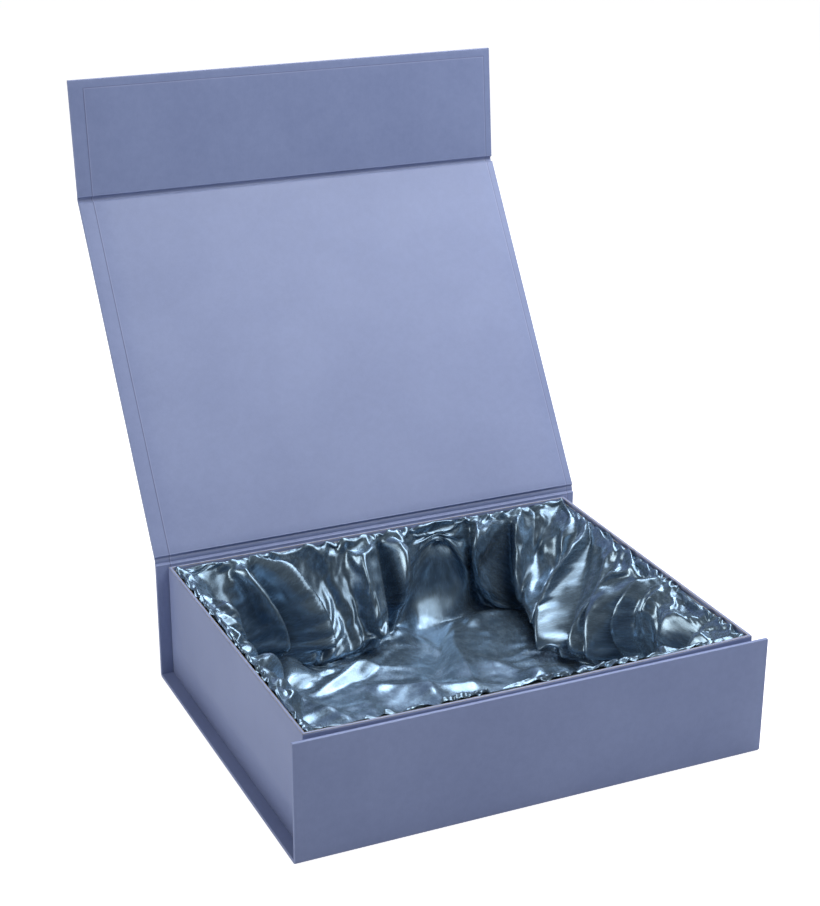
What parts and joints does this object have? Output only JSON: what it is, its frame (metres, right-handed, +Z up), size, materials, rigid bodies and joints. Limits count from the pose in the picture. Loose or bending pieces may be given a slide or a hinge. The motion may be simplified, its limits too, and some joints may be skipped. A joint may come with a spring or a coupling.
{
  "type": "hinged lined case",
  "caption": "Rigid paper-covered board case with a hinged lid, a folding closing flap and a satin-lined fixed tray.",
  "frame": {"origin": "middle of the base's underside, on the surface that the case stands on", "axes": "+X to the case's right, -Y towards the front panel, +Z up"},
  "size_m": [0.35, 0.445, 0.4202],
  "materials": {
    "cover_paper": "matte",
    "liner_paper": "matte",
    "greyboard": "matte",
    "kraft_tape": "matte",
    "lining_card": "matte",
    "wadding": "matte",
    "satin": "satin",
    "steel_disc": "satin",
    "magnet": "satin"
  },
  "bodies": {
    "case": {"base_board": "greyboard", "base_cover": "cover_paper", "base_liner": "liner_paper", "front_board": "greyboard", "front_cover": "cover_paper", "front_liner": "liner_paper", "front_steel_discs": "steel_disc", "spine_board": "greyboard", "spine_cover": "cover_paper", "spine_liner": "liner_paper", "tray_floor": "greyboard", "tray_left_wall": "greyboard", "tray_right_wall": "greyboard", "tray_front_wall": "greyboard", "tray_back_wall": "greyboard", "tray_corner_tapes": "kraft_tape", "tray_wrap": "cover_paper", "lining_card_left": "lining_card", "lining_card_right": "lining_card", "lining_card_front": "lining_card", "lining_card_back": "lining_card", "floor_pad": "wadding", "satin_lining": "satin"},
    "lid": {"lid_board": "greyboard", "lid_cover": "cover_paper", "lid_liner": "liner_paper"},
    "flap": {"flap_board": "greyboard", "flap_cover": "cover_paper", "flap_liner": "liner_paper", "flap_magnets": "magnet"}
  },
  "joints": [
    {"name": "lid_hinge", "type": "hinge", "parent": "case", "child": "lid", "pos_m": [0, 0.1396, 0.095], "axis": [1, 0, 0], "range_deg": [-70.8, 123.6]},
    {"name": "flap_hinge", "type": "hinge", "parent": "lid", "child": "flap", "pos_m": [0, 0.29599, 0.33038], "axis": [1, 0, 0], "range_deg": [-28.1, 61.9]}
  ]
}
